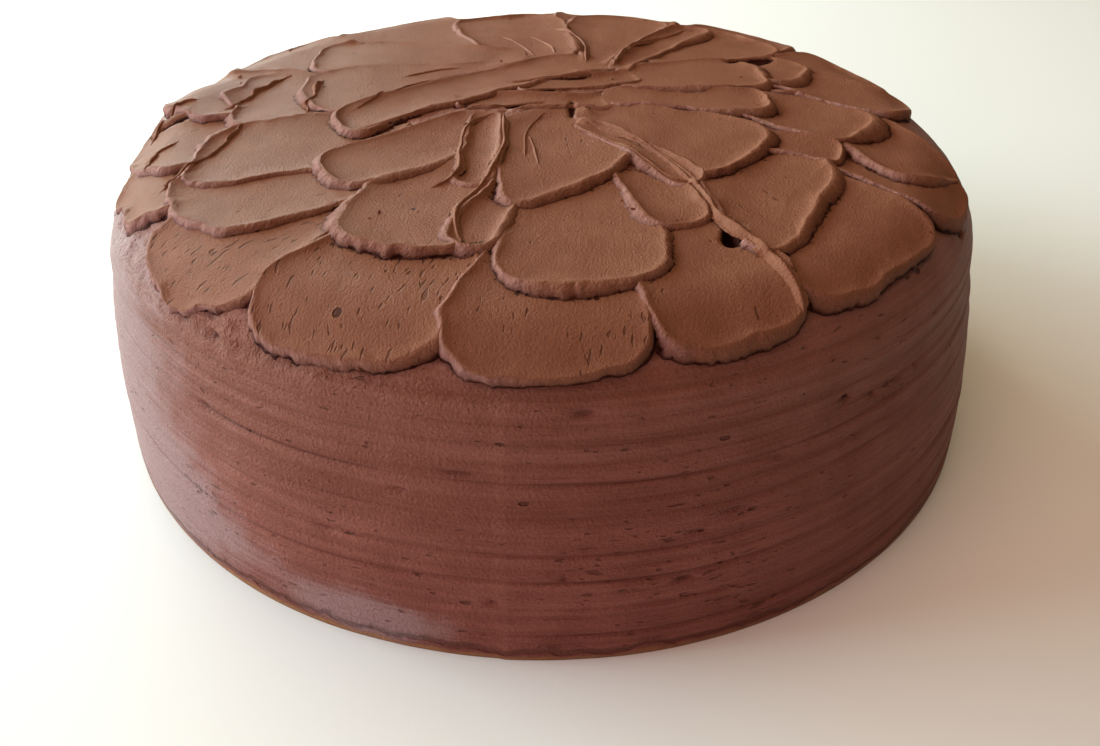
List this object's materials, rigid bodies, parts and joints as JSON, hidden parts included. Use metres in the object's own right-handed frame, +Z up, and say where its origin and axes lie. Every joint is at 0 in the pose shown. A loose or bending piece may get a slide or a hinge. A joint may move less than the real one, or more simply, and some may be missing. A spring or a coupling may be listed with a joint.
{
  "type": "layer cake",
  "caption": "Uncut round layer cake, iced all over in chocolate buttercream: petal-like palette-knife strokes on top, scraper bands round the side.",
  "frame": {"origin": "centre of the flat foot the cake rests on", "axes": "+Z up through the cake's height; -Y faces the viewer; the cake is round, so X and Y only fix where each stroke lies"},
  "size_m": [0.2338, 0.2337, 0.0771],
  "materials": {
    "chocolate_icing": null
  },
  "bodies": {
    "root": {"cake": "chocolate_icing"}
  },
  "joints": []
}
